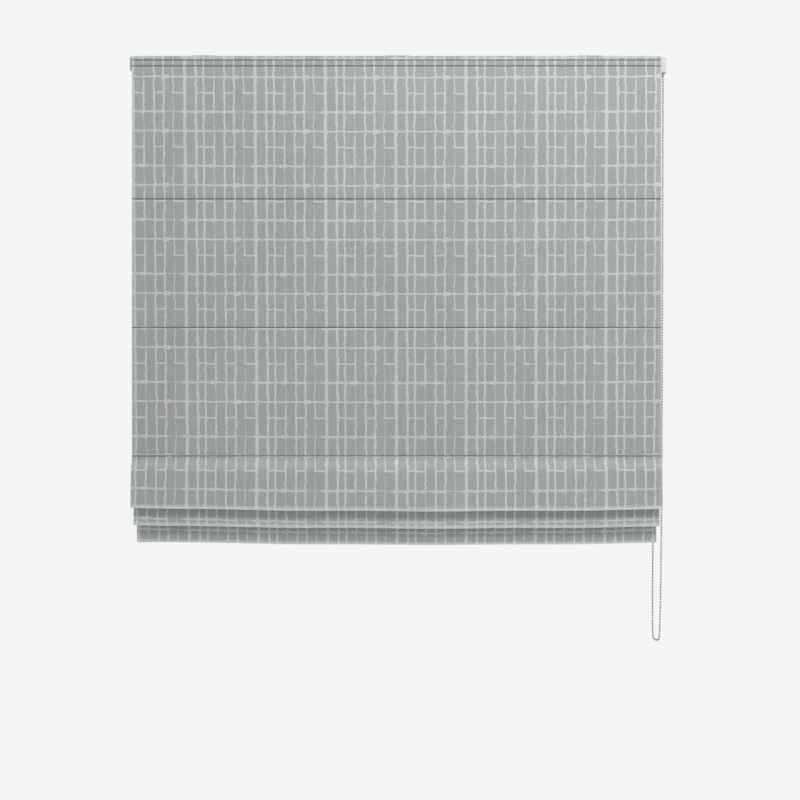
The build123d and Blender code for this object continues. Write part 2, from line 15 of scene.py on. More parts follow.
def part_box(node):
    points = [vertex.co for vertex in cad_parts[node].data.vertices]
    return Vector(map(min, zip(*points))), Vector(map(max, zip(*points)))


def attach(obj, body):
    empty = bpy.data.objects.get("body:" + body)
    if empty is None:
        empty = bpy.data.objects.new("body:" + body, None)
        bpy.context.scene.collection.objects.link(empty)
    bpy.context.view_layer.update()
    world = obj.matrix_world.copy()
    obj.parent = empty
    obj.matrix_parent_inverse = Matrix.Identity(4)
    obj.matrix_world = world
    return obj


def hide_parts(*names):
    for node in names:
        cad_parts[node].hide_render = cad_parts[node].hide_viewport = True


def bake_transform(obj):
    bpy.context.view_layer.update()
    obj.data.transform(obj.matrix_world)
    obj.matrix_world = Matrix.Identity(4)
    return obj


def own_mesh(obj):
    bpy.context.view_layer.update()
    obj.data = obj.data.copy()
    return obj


bl_info = {
    "name": "Roman Blind Maker",
    "version": (1, 0, 0),
    "blender": (4, 5, 0),
    "location": "View3D > Sidebar > Blind",
    "description": "Builds a roman blind's cloth, cords, bead chain and finishes on its packed frame",
    "category": "Object",
}

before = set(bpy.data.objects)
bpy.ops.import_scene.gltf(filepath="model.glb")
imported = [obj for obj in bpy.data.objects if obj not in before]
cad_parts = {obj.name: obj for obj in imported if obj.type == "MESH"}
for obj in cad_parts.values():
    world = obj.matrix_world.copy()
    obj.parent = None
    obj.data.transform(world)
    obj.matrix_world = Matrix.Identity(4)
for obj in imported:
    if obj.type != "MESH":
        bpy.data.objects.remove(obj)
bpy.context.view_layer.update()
MM = 0.001

# Places of the cloth, the rods and the cords, and how far the cloth's two sides lie behind its plane
CLOTH_LOW, CLOTH_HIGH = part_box("face_cloth")
ROD_HEIGHTS = [(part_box(f"rod_{n}")[0].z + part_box(f"rod_{n}")[1].z) / 2 for n in range(1, 6)]
ROD_Y = (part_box("rod_1")[0].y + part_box("rod_1")[1].y) / 2
CORD_X = [-0.446, -0.149, 0.149, 0.446]
CORD_Y = -0.00775
SHAFT_Z = -0.021
FACE_Y = -0.0236
CLOTH_TOP = -0.004
TOP_BAND_END = -0.085
FOLD_INSET = 0.005
HEM_INSET = 0.010
FACE_NEAR, FACE_FAR = -0.0005, 0.0005
LINING_NEAR, LINING_FAR = 0.0007, 0.0012


# ---- Settings -----------------------------------------------------------------------------------
def length_setting(name, description, default):
    return FloatProperty(name=name, description=description, unit="LENGTH", default=default)


def colour_setting(name, description, default):
    return FloatVectorProperty(
        name=name, description=description, subtype="COLOR", size=3, min=0.0, max=1.0, default=default,
    )


class ClothSettings(PropertyGroup):
    """The woven face cloth and its lattice."""

    ground: colour_setting(
        "Ground", "Colour of the cloth between the lattice lines", (0.372, 0.396, 0.388),
    )
    figure: colour_setting("Lattice", "Colour of the woven lattice lines", (0.565, 0.592, 0.584))
    lining: colour_setting("Lining", "Colour of the lining", (0.70, 0.685, 0.645))
    repeat_across: length_setting("Repeat across", "Width of one repeat of the lattice", 0.1437)
    repeat_down: length_setting("Repeat down", "Height of one repeat of the lattice", 0.1116)
    first_upright: length_setting(
        "First upright", "From the cloth's left edge to the first upright line", 0.0225,
    )
    first_row: length_setting("First row", "From the cloth's top edge to the first full row", 0.0420)
    ripple: length_setting("Ripple", "How far the cloth leaves its plane between two rods", 0.0009)
    sag: length_setting("Sag", "How much lower a fold hangs at its middle", 0.0043)
    stitch_pitch: length_setting("Stitch pitch", "Distance from stitch to stitch along a seam", 0.0034)


class CordSettings(PropertyGroup):
    """The bead chain and the lift cords."""

    bead_pitch: length_setting("Bead pitch", "Distance from bead to bead", 0.006)
    bead_radius: length_setting("Bead radius", "Radius of a bead", 0.00225)
    link_radius: length_setting("Link radius", "Radius of the wire between two beads", 0.00055)
    cord_radius: length_setting("Cord radius", "Radius of a lift cord", 0.0006)
    wheel_pockets: IntProperty(
        name="Wheel pockets", description="Beads in one turn of the chain wheel", default=15, min=6,
    )


class FinishSettings(PropertyGroup):
    """Colours of the hardware."""

    coat: colour_setting("Coat", "Powder coat of the headrail and brackets", (0.70, 0.70, 0.69))
    plastic: colour_setting("Plastic", "Moulded plastic", (0.66, 0.665, 0.655))
    steel: colour_setting("Steel", "Drawn steel of the shaft", (0.50, 0.50, 0.49))
    nickel: colour_setting("Nickel", "Plating of the bead chain", (0.52, 0.52, 0.51))


class StageSettings(PropertyGroup):
    """Camera, floor and lights."""

    distance: length_setting("Camera distance", "From the camera to the cloth", 3.2)
    view_width: length_setting("View width", "Width of the view at the cloth", 1.650)
    floor_height: length_setting("Floor height", "Height of the floor under the mounting face", -1.78)
    floor_radius: length_setting("Floor radius", "Radius of the round floor", 2.4)
    floor: colour_setting("Floor", "Colour of the floor", (0.86, 0.86, 0.86))
    behind: FloatProperty(
        name="Light behind", description="Brightness of the studio behind the blind",
        default=0.913, min=0.0,
    )
    ahead: FloatProperty(
        name="Light ahead", description="Brightness of the studio in front of the blind",
        default=0.29, min=0.0,
    )


# ---- Node graphs --------------------------------------------------------------------------------
class Graph:
    """A material with a Principled surface, and short calls for the nodes that feed it."""

    def __init__(self, name, roughness, metallic=0.0, sheen=0.0, coat=0.0):
        self.material = bpy.data.materials.new(name)
        self.material.use_nodes = True
        self.tree = self.material.node_tree
        self.surface = self.tree.nodes["Principled BSDF"]
        self.fill(self.surface, {
            "Roughness": roughness, "Metallic": metallic, "Sheen Weight": sheen, "Coat Weight": coat,
        })

    def node(self, kind, **settings):
        made = self.tree.nodes.new("ShaderNode" + kind)
        for key, value in settings.items():
            setattr(made, key, value)
        return made

    def feed(self, socket, value):
        """Links a node's output to a socket, or sets the socket to a number or colour."""
        if isinstance(value, bpy.types.NodeSocket):
            self.tree.links.new(value, socket)
        else:
            socket.default_value = value

    def fill(self, node, values):
        """Feeds a node's sockets by name, apart from those given as None."""
        for name, value in values.items():
            if value is not None:
                self.feed(node.inputs[name], value)

    def math(self, operation, first, second=0.0, third=0.0):
        made = self.node("Math", operation=operation)
        for socket, value in zip(made.inputs, (first, second, third)):
            self.feed(socket, value)
        return made.outputs[0]

    def add(self, first, second):
        return self.math("ADD", first, second)

    def minus(self, first, second):
        return self.math("SUBTRACT", first, second)

    def times(self, first, second):
        return self.math("MULTIPLY", first, second)

    def between(self, value, low, high, out_low=0.0, out_high=1.0, smooth=False):
        made = self.node("MapRange", interpolation_type="SMOOTHSTEP" if smooth else "LINEAR")
        for socket, given in zip(made.inputs, (value, low, high, out_low, out_high)):
            self.feed(socket, given)
        return made.outputs[0]

    def ramp(self, value, stops):
        """Grey levels at places from 0 to 1, straight between them."""
        made = self.node("ValToRGB")
        places = made.color_ramp.elements
        while len(places) > 1:
            places.remove(places[-1])
        for number, (place, level) in enumerate(stops):
            stop = places[0] if number == 0 else places.new(place)
            stop.position = place
            stop.color = (level, level, level, 1.0)
        self.feed(made.inputs[0], value)
        return made.outputs[0]

    def mix(self, factor, first, second, blend="MIX"):
        made = self.node("Mix", data_type="RGBA", blend_type=blend)
        self.feed(made.inputs[0], factor)
        for socket, value in ((made.inputs[6], first), (made.inputs[7], second)):
            self.feed(socket, (*value, 1.0) if isinstance(value, tuple) and len(value) == 3 else value)
        return made.outputs[2]

    def place(self):
        return self.node("TexCoord").outputs["Object"]

    def noise(self, vector, scale, detail=2.0, roughness=0.5, w=None, output="Fac"):
        made = self.node("TexNoise", noise_dimensions="3D" if w is None else "4D")
        self.fill(made, {
            "Vector": vector, "W": w, "Scale": scale, "Detail": detail, "Roughness": roughness,
        })
        return made.outputs[output]

    def streaks(self, scale, detail=1.0, roughness=0.5):
        """Noise with a scale of its own along each axis."""
        made = self.node("Mapping")
        self.fill(made, {"Vector": self.place(), "Scale": scale})
        return self.noise(made.outputs[0], 1.0, detail, roughness)

    def bump(self, height, distance, strength=1.0, under=None):
        made = self.node("Bump")
        self.fill(made, {"Strength": strength, "Distance": distance, "Height": height, "Normal": under})
        return made.outputs[0]

    def wear(self, name):
        return self.node("Attribute", attribute_name=name).outputs["Fac"]

    def finish(self, colour=None, normal=None, roughness=None):
        self.fill(self.surface, {"Base Color": colour, "Normal": normal, "Roughness": roughness})
        return self.material


# The lattice in shares of one repeat: (place, half width) of its uprights and rows
UPRIGHTS = (
    (0.070, 0.026), (0.220, 0.027), (0.354, 0.028), (0.492, 0.021), (0.655, 0.045), (0.815, 0.033),
    (0.925, 0.028),
)
ROWS = ((0.100, 0.031), (0.395, 0.029), (0.746, 0.037))
ROUGH_UPRIGHT, FAINT_UPRIGHT = 0.070, 0.492
FIRST_ROW, BROKEN_ROW, THIRD_ROW = 0.100, 0.395, 0.746
LINE_REACH = 0.05
# How much of the faint and of the rough upright is lost down a repeat
FAINT_LOSS = (
    (0.0, 0.12), (0.11, 0.04), (0.39, 0.0), (0.41, 0.62), (0.56, 0.50), (0.72, 0.45), (0.76, 0.16),
    (1.0, 0.12),
)
ROUGH_LOSS = (
    (0.0, 0.50), (0.09, 0.42), (0.13, 0.36), (0.19, -0.22), (0.34, 0.0), (0.40, 0.0), (0.50, -0.08),
    (0.70, 0.0), (0.76, 0.0), (0.82, 0.30), (1.0, 0.50),
)
BROKEN_ROW_SHOWS = ((0.0, 0.085), (0.200, 0.372), (0.470, 0.675), (0.790, 1.0))
THIRD_ROW_THINS, THINNED_BY = (0.345, 0.590), 0.34
# Knots: place across, place down, half width and half height
KNOTS = ((0.380, 0.100, 0.066, 0.044), (0.035, 0.748, 0.095, 0.032))
KNOT_HEIGHT = 1.35
SWAY, SHAKE, FRAY = 0.046, 0.010, 0.95


def tents(lines):
    """Ramp stops that rise to 1 at each line and fall to 0 a width to each side."""
    stops = [(0.0, 0.0)]
    for place, half in lines:
        stops += [(place - half, 0.0), (place, 1.0), (place + half, 0.0)]
    return [*stops, (1.0, 0.0)]


def windows(spans, level=1.0, soft=0.006):
    """Ramp stops at a level inside the spans and 0 outside."""
    stops = []
    for start, end in spans:
        if start > soft:
            stops += [(start - soft, 0.0), (start + soft, level)]
        else:
            stops.append((0.0, level))
        if end < 1.0 - soft:
            stops += [(end - soft, level), (end + soft, 0.0)]
        else:
            stops.append((1.0, level))
    return stops


def lattice_mask(graph, across, down, settings):
    """The woven lattice as a mask: wavering uprights and rows, some broken, two knots a repeat."""
    turn_across = graph.times(across, 2 * pi / settings.repeat_across)
    turn_down = graph.times(down, 2 * pi / settings.repeat_down)
    ring = graph.node("CombineXYZ")
    graph.feed(ring.inputs[0], graph.math("COSINE", turn_across))
    graph.feed(ring.inputs[1], graph.math("SINE", turn_across))
    graph.feed(ring.inputs[2], graph.math("COSINE", turn_down))
    lift = graph.math("SINE", turn_down)

    def channels(scale, detail, roughness):
        """Three noises that repeat with the lattice."""
        made = graph.node("SeparateColor")
        graph.feed(made.inputs[0], graph.noise(ring.outputs[0], scale, detail, roughness, lift, "Color"))
        return made.outputs[0], made.outputs[1], made.outputs[2]

    sway_across, sway_down, _ = channels(1.25, 2.0, 0.55)
    shake, fray, gaps = channels(11.0, 4.0, 0.7)
    shake, fray = graph.minus(shake, 0.5), graph.minus(fray, 0.5)

    def share(length, first, repeat, offset, sway):
        """How far along its repeat a length lies, from 0 to 1."""
        moved = graph.math("DIVIDE", graph.minus(length, first), repeat)
        moved = graph.math("MULTIPLY_ADD", graph.minus(sway, 0.5), SWAY, graph.add(moved, offset))
        return graph.math("FRACT", graph.math("MULTIPLY_ADD", shake, SHAKE, moved))

    def beside(place, line):
        return graph.ramp(place, windows([(line - LINE_REACH, line + LINE_REACH)]))

    u = share(across, settings.first_upright, settings.repeat_across, ROUGH_UPRIGHT, sway_across)
    v = share(down, settings.first_row, settings.repeat_down, FIRST_ROW, sway_down)
    uprights = graph.ramp(u, tents(UPRIGHTS))
    rows = graph.ramp(v, tents(ROWS))

    # The faint upright is whole above the broken row, dotted below it and thin under the third row
    faint = graph.times(beside(u, FAINT_UPRIGHT), graph.ramp(v, FAINT_LOSS))
    rough = graph.times(beside(u, ROUGH_UPRIGHT), graph.ramp(v, ROUGH_LOSS))
    dotted = graph.between(gaps, 0.46, 0.56, 0.1, 1.9)
    uprights = graph.minus(uprights, graph.times(graph.add(faint, rough), dotted))

    # The broken row shows between some uprights only, and the third row thins between two of them
    drawn = graph.ramp(u, windows(BROKEN_ROW_SHOWS))
    missing = graph.times(beside(v, BROKEN_ROW), graph.minus(1.0, drawn))
    thin = graph.times(beside(v, THIRD_ROW), graph.ramp(u, windows([THIRD_ROW_THINS], THINNED_BY)))
    thinned = graph.times(thin, graph.between(gaps, 0.44, 0.54, 0.1, 1.8))
    rows = graph.minus(graph.minus(rows, missing), thinned)

    def knot(place_u, place_v, wide, high):
        out_u = graph.math("DIVIDE", graph.minus(u, place_u), wide)
        out_v = graph.math("DIVIDE", graph.minus(v, place_v), high)
        return graph.minus(KNOT_HEIGHT, graph.add(graph.times(out_u, out_u), graph.times(out_v, out_v)))

    knots = graph.math("MAXIMUM", *(knot(*values) for values in KNOTS))
    crossings = graph.times(graph.math("MAXIMUM", uprights, 0.0), graph.math("MAXIMUM", rows, 0.0))
    lines = graph.add(graph.math("MAXIMUM", uprights, rows), graph.times(crossings, 0.5))
    lines = graph.math("MULTIPLY_ADD", fray, FRAY, graph.math("MAXIMUM", lines, knots))
    return graph.between(lines, 0.38, 0.62, smooth=True)


def scaled(colour, factor):
    """A colour made darker or lighter, up to white."""
    return tuple(min(1.0, factor * level) for level in colour)


def cloth_material(settings):
    """Woven cloth: warp and weft, a raised paler lattice, colour drift, painted shade in the stitched
    grooves and painted highlights along fold and side edges.
    """
    graph = Graph("face_cloth_weave", roughness=0.86, sheen=0.12)
    graph.surface.inputs["Specular IOR Level"].default_value = 0.25
    layout = graph.node("SeparateXYZ")
    graph.feed(layout.inputs[0], graph.node("UVMap", uv_map="Cloth").outputs[0])
    across, down = layout.outputs[0], layout.outputs[1]
    mask = lattice_mask(graph, across, down, settings)
    wide = graph.noise(graph.place(), 5.0, 3.0, 0.6)
    tint = graph.noise(graph.place(), 13.0, 1.0, 0.5, output="Color")
    warp = graph.streaks((2600.0, 2600.0, 130.0))
    weft = graph.streaks((110.0, 1800.0, 2300.0))
    threads = graph.add(warp, weft)
    colour = graph.mix(mask, tuple(settings.ground), tuple(settings.figure))
    colour = graph.mix(0.05, colour, tint, "SOFT_LIGHT")
    # Painted highlight: paler colour along fold edges and side edges, from the highlight mark
    pressed = graph.between(graph.wear("PaintedHighlight"), 0.0, 1.0, 0.0, 0.85)
    colour = graph.mix(pressed, colour, scaled(settings.figure, 1.3))
    level = graph.between(wide, 0.25, 0.75, 0.955, 1.045)
    level = graph.times(level, graph.between(threads, 0.7, 1.3, 0.93, 1.07))
    # Painted shade: darker cloth in the stitched grooves, from the groove shade mark
    level = graph.times(level, graph.between(graph.wear("GrooveShade"), 0.0, 1.0, 1.0, 0.36))
    shade = graph.node("CombineColor")
    for socket in shade.inputs[:3]:
        graph.feed(socket, level)
    colour = graph.mix(1.0, colour, shade.outputs[0], "MULTIPLY")
    normal = graph.bump(threads, 0.00012, 0.6)
    normal = graph.bump(mask, 0.00022, 0.7, under=normal)
    normal = graph.bump(wide, 0.004, 0.18, under=normal)
    return graph.finish(colour, normal, graph.between(mask, 0.0, 1.0, 0.9, 0.78))


def lining_material(colour):
    """Plain cotton lining: a fine even weave with slubs and slight creases."""
    graph = Graph("lining_weave", roughness=0.9, sheen=0.08)
    warp = graph.streaks((2400.0, 2400.0, 90.0))
    weft = graph.streaks((90.0, 1500.0, 2400.0))
    slub = graph.streaks((14.0, 50.0, 420.0), 3.0, 0.7)
    crease = graph.streaks((5.0, 5.0, 11.0), 3.0, 0.55)
    weave = graph.add(warp, weft)
    tone = graph.mix(graph.between(slub, 0.45, 0.8), tuple(colour), scaled(colour, 0.90))
    tone = graph.mix(graph.between(weave, 0.7, 1.3, 0.10, 0.0), tone, scaled(colour, 0.7))
    # Painted shade in the stitched grooves, from the groove shade mark
    tone = graph.mix(graph.wear("GrooveShade"), tone, scaled(colour, 0.55))
    normal = graph.bump(weave, 0.00012, 0.6)
    normal = graph.bump(crease, 0.004, 0.22, under=normal)
    return graph.finish(tone, normal)


def thread_material(name, colour):
    """Sewing thread: two twisted plies."""
    graph = Graph(name, roughness=0.7, sheen=0.2)
    twist = graph.streaks((2200.0, 900.0, 3800.0))
    tone = graph.mix(graph.between(twist, 0.35, 0.65), colour, scaled(colour, 0.6))
    return graph.finish(tone, graph.bump(twist, 0.0002, 0.7))


def cord_material(colour):
    """Braided polyester cord: crossing diagonal plaits and a few stray fibres."""
    graph = Graph("lift_cord_braid", roughness=0.62, sheen=0.15)
    place = graph.place()
    heights = []
    for lean in (1.0, -1.0):
        wave = graph.node("TexWave", bands_direction="Z", wave_profile="SIN")
        split = graph.node("SeparateXYZ")
        graph.feed(split.inputs[0], place)
        joined = graph.node("CombineXYZ")
        graph.feed(joined.inputs[2], graph.math("MULTIPLY_ADD", split.outputs[0], lean, split.outputs[2]))
        graph.feed(wave.inputs["Vector"], joined.outputs[0])
        wave.inputs["Scale"].default_value = 260.0
        heights.append(wave.outputs["Fac"])
    plait = graph.times(*heights)
    tone = graph.mix(plait, scaled(colour, 0.72), colour)
    return graph.finish(tone, graph.bump(plait, 0.0002, 0.8))


def tape_material(colour):
    """Hook and loop tape: a dense pile on a woven ground."""
    graph = Graph("tape_pile", roughness=0.95, sheen=0.3)
    pile = graph.noise(graph.place(), 1500.0, 3.0, 0.7)
    rows = graph.streaks((30.0, 30.0, 900.0))
    height = graph.add(pile, graph.times(rows, 0.5))
    tone = graph.mix(graph.between(height, 0.5, 1.0), scaled(colour, 0.72), colour)
    return graph.finish(tone, graph.bump(height, 0.0006, 0.8))


def moulded_material(name, colour, roughness=0.42, grain=900.0):
    """Moulded plastic: fine spark grain, faint flow shading and slightly rubbed high spots."""
    graph = Graph(name, roughness=roughness)
    place = graph.place()
    spark = graph.noise(place, grain, 3.0, 0.6)
    flow = graph.streaks((18.0, 30.0, 30.0), 3.0, 0.6)
    edge = graph.node("NewGeometry").outputs["Pointiness"]
    tone = graph.mix(graph.between(flow, 0.3, 0.7), colour, scaled(colour, 0.94))
    tone = graph.mix(graph.between(edge, 0.52, 0.60, 0.0, 0.35), tone, scaled(colour, 1.08))
    normal = graph.bump(spark, 0.00008, 0.5)
    return graph.finish(tone, normal, graph.between(flow, 0.3, 0.7, roughness - 0.05, roughness + 0.07))


def coated_material(name, colour):
    """Powder coat over metal: orange peel and a few fine specks of dust."""
    graph = Graph(name, roughness=0.38, coat=0.1)
    place = graph.place()
    peel = graph.noise(place, 420.0, 2.0, 0.5)
    dust = graph.noise(place, 60.0, 5.0, 0.75)
    tone = graph.mix(graph.between(dust, 0.62, 0.85, 0.0, 0.5), colour, scaled(colour, 0.8))
    return graph.finish(tone, graph.bump(peel, 0.00015, 0.35), graph.between(dust, 0.4, 0.8, 0.34, 0.5))


def metal_material(name, colour, roughness, draw, strength=0.4):
    """Drawn or rolled metal: fine lines along one axis, scuffs and uneven gloss."""
    graph = Graph(name, roughness=roughness, metallic=1.0)
    place = graph.place()
    lines = graph.streaks(draw, 3.0, 0.6)
    scuff = graph.noise(place, 45.0, 5.0, 0.7)
    tone = graph.mix(graph.between(scuff, 0.35, 0.7), colour, scaled(colour, 0.82))
    gloss = graph.between(lines, 0.3, 0.7, roughness - 0.08, roughness + 0.1)
    gloss = graph.add(gloss, graph.between(scuff, 0.5, 0.8, 0.0, 0.12))
    return graph.finish(tone, graph.bump(lines, 0.00004, strength), gloss)


def ring_material():
    """Clear white rings: slightly glossy, with a little light through them."""
    graph = Graph("ring_moulding", roughness=0.22, coat=0.2)
    graph.surface.inputs["Subsurface Weight"].default_value = 0.25
    graph.surface.inputs["Subsurface Radius"].default_value = (0.002, 0.002, 0.002)
    cloud = graph.noise(graph.place(), 260.0, 2.0, 0.5)
    tone = graph.mix(graph.between(cloud, 0.35, 0.7), (0.84, 0.84, 0.82), (0.74, 0.75, 0.74))
    return graph.finish(tone, graph.bump(cloud, 0.00005, 0.4))


# ---- Meshes -------------------------------------------------------------------------------------
class Shape:
    """Vertices, faces and surface marks, painted groove shade and painted highlight among them, of one
    piece while it is being made.
    """

    def __init__(self):
        self.points, self.faces, self.slots = [], [], []
        self.layout, self.crease, self.painted_highlight = [], [], []

    def point(self, place, layout=(0.0, 0.0), crease=0.0, painted_highlight=0.0):
        self.points.append(place)
        self.layout.append(layout)
        self.crease.append(crease)
        self.painted_highlight.append(painted_highlight)
        return len(self.points) - 1

    def face(self, corners, slot=0):
        self.faces.append(corners)
        self.slots.append(slot)

    def join(self, start, sides, rings, ends=True):
        """Joins rings of points that follow each other, and closes both ends."""
        for a in range(start, start + (rings - 1) * sides):
            b = a + 1 if (a - start + 1) % sides else a + 1 - sides
            self.face((a, b, b + sides, a + sides))
        if ends:
            last = start + (rings - 1) * sides
            self.face(tuple(start + part for part in reversed(range(sides))))
            self.face(tuple(last + part for part in range(sides)))

    def piece(self, name, materials, sharp=40.0):
        mesh = bpy.data.meshes.new(name)
        mesh.from_pydata(self.points, [], self.faces)
        for material in materials:
            mesh.materials.append(material)
        mesh.polygons.foreach_set("material_index", self.slots)
        mesh.polygons.foreach_set("use_smooth", [True] * len(self.faces))
        cloth_map = mesh.uv_layers.new(name="Cloth")
        corners = [0] * len(mesh.loops)
        mesh.loops.foreach_get("vertex_index", corners)
        cloth_map.data.foreach_set("uv", [value for corner in corners for value in self.layout[corner]])
        # Marks painted into the colour: shade in the stitched grooves, and a highlight along fold and
        # side edges
        for mark, values in (("GrooveShade", self.crease), ("PaintedHighlight", self.painted_highlight)):
            mesh.attributes.new(mark, "FLOAT", "POINT").data.foreach_set("value", values)
        mesh.set_sharp_from_angle(angle=radians(sharp))
        mesh.validate()
        made = bpy.data.objects.new(name, mesh)
        bpy.context.scene.collection.objects.link(made)
        return made


SAMPLE_STEP = 0.008
SEAM_STATIONS = (-0.003, -0.0016, -0.0009, -0.0004, 0.0, 0.0004, 0.0009, 0.0016, 0.003)


def trace(corners, close_up=()):
    """Samples along corners of (y, z, bend radius): y, z, the unit normal to the left and the length run.

    An upright run has more samples round the heights in close_up, which count from zero as z does.
    """
    turns = []
    for before, here, after in zip(corners, corners[1:], corners[2:]):
        way_in = atan2(here[1] - before[1], here[0] - before[0])
        way_out = atan2(after[1] - here[1], after[0] - here[0])
        turn = (way_out - way_in + pi) % (2 * pi) - pi
        turns.append((here, way_in, turn, here[2] * tan(abs(turn) / 2)))
    starts = [(h[0] + t * cos(w + d), h[1] + t * sin(w + d)) for h, w, d, t in turns]
    ends = [(h[0] - t * cos(w), h[1] - t * sin(w)) for h, w, d, t in turns]
    samples, run = [], 0.0
    for number, (start, end) in enumerate(zip([corners[0][:2], *starts], [*ends, corners[-1][:2]])):
        long = hypot(end[0] - start[0], end[1] - start[1])
        way = atan2(end[1] - start[1], end[0] - start[0])
        count = max(1, ceil(long / SAMPLE_STEP))
        stations = {round(long * n / count, 7) for n in range(count + 1)}
        if abs(cos(way)) < 1e-6:
            for height in close_up:
                for aside in SEAM_STATIONS:
                    at = round(start[1] - height - aside, 7)
                    if 0.0 < at < long:
                        stations.add(at)
        for at in sorted(stations):
            if samples and at == 0.0:
                continue
            place = start[0] + at * cos(way), start[1] + at * sin(way)
            samples.append((*place, -sin(way), cos(way), run + at))
        run += long
        if number < len(turns):
            here, way_in, turn = turns[number][:3]
            side = 1.0 if turn > 0 else -1.0
            radius = here[2]
            centre = (end[0] - side * radius * sin(way_in), end[1] + side * radius * cos(way_in))
            parts = max(2, ceil(abs(turn) / radians(11)))
            for part in range(1, parts + 1):
                way = way_in + turn * part / parts
                samples.append((
                    centre[0] + side * radius * sin(way), centre[1] - side * radius * cos(way),
                    -sin(way), cos(way), run + radius * abs(turn) * part / parts,
                ))
            run += radius * abs(turn)
    return samples


def held(z):
    """0 at the tape and at each rod, and 1 half way between two of them."""
    levels = [-0.030, *ROD_HEIGHTS[:3]]
    for high, low in zip(levels, levels[1:]):
        if low < z < high:
            return sin(pi * (high - z) / (high - low))
    return 0.0


def hang(x, z, ripple):
    """How far the hanging cloth leaves its plane."""
    return ripple * held(z) * noise.noise(Vector((x * 3.1 + 4.0, 1.7, z * 4.3)))


def droop(x, sag):
    """How much lower a fold's edge is along the blind: highest at its left end."""
    t = (x - (CLOTH_LOW.x + CLOTH_HIGH.x) / 2) / ((CLOTH_HIGH.x - CLOTH_LOW.x) / 2)
    return sag * (1.0 + 0.38 * t - 1.31 * t * t) + 0.0005 * sin(x * 21.0)


SEAMS = [(ROD_HEIGHTS[0], 0.00075), (ROD_HEIGHTS[1], 0.00075), (ROD_HEIGHTS[2], 0.00075)]
TOP_LINES = [(-0.0126, 0.0006), (-0.0248, 0.0007)]


def seam_dip(z):
    """(depth of the stitched groove at a height, how strong the painted shade in the groove is)."""
    for height, depth in SEAMS + TOP_LINES:
        away = abs(z - height)
        if away < 0.003:
            share = (1.0 - away / 0.003) ** 2
            return depth * share, min(1.0, 1.6 * max(0.0, 1.0 - away / 0.0017)) * depth / 0.00075
    return 0.0, 0.0


def columns(left, right, wide=0.010):
    count = max(1, ceil((right - left) / wide))
    edge = (0.0016,) if right - left > 0.1 else ()
    inner = [left + (right - left) * n / count for n in range(1, count)]
    return [left, *(left + e for e in edge), *inner, *(right - e for e in edge), right]


def weave_place(x, along):
    """Where a point of the cloth lies in its weave, which was cut a little out of square and is bowed."""
    across, middle = x - CLOTH_LOW.x, 2 * (x - CLOTH_LOW.x) / (CLOTH_HIGH.x - CLOTH_LOW.x) - 1
    skew = 0.0004 + 0.0101 * across + along * (0.0088 - 0.0120 * across)
    return across - skew, along - 0.0026 * (1.0 - middle * middle)


def side_painted_highlight(x, places):
    """Painted highlight: a mark that is 1 at both side edges of a layer, where its cloth is turned back.
    """
    return max(0.0, 1.0 - min(x - places[0], places[-1] - x) / 0.002)


def lay(
    shape, samples, near, far, left, right, settings, run=0.0, fold=None, slots=(0, 0), dip=False,
    wide=0.010,
):
    """Adds a layer of cloth along the samples, between two distances behind them, to a shape.

    A hanging loop's fold is (height where the sag starts, height where it is whole, mark of the painted
    highlight along its edge).
    """
    start = len(shape.points)
    places = columns(left, right, wide)
    end_run = samples[-1][4]
    for side in (near, far):
        for y, z, normal_y, normal_z, along in samples:
            low = 0.0
            if fold:
                low = min(1.0, max(0.0, (fold[0] - z) / (fold[0] - fold[1])))
                low = low * low * (3.0 - 2.0 * low)
            # Painted shade in the stitched grooves of the face cloth
            depth, groove_shade = seam_dip(z) if dip and side == near else (0.0, 0.0)
            # Painted highlight along a fold's edge, and along both side edges of the layer
            painted_highlight = fold[2](along, end_run) if fold else 0.0
            offset = side + depth
            for x in places:
                out = y + normal_y * offset + hang(x, z, settings.ripple)
                up = z + normal_z * offset - low * droop(x, settings.sag)
                mark = max(painted_highlight, side_painted_highlight(x, places))
                shape.point((x, out, up), weave_place(x, run + along), groove_shade, mark)
    row_long, rows = len(places), len(samples)
    back = row_long * rows
    for row in range(rows - 1):
        for column in range(row_long - 1):
            a = start + row * row_long + column
            b = a + row_long
            shape.face((a, b, b + 1, a + 1), slots[0])
            shape.face((a + back, a + back + 1, b + back + 1, b + back), slots[1])
        for column, flip in ((0, False), (row_long - 1, True)):
            a = start + row * row_long + column
            ring = (a, a + back, a + back + row_long, a + row_long)
            shape.face(ring[::-1] if flip else ring, slots[0])
    for row, flip in ((0, False), (rows - 1, True)):
        for column in range(row_long - 1):
            a = start + row * row_long + column
            ring = (a, a + 1, a + 1 + back, a + back)
            shape.face(ring[::-1] if flip else ring, slots[0])


def tube(shape, line, radius, sides, ends=True):
    """Adds a round tube along a line of points."""
    start = len(shape.points)
    ahead = (line[1] - line[0]).normalized()
    side = ahead.orthogonal().normalized()
    for number, place in enumerate(line):
        ahead = (line[min(number + 1, len(line) - 1)] - line[max(number - 1, 0)]).normalized()
        side = (side - ahead * side.dot(ahead)).normalized()
        across = ahead.cross(side)
        for part in range(sides):
            angle = 2 * pi * part / sides
            shape.point(tuple(place + radius * (side * cos(angle) + across * sin(angle))))
    shape.join(start, sides, len(line), ends)


BEAD_SIDES, BEAD_RINGS = 12, 8
BEAD_LAND = radians(12)


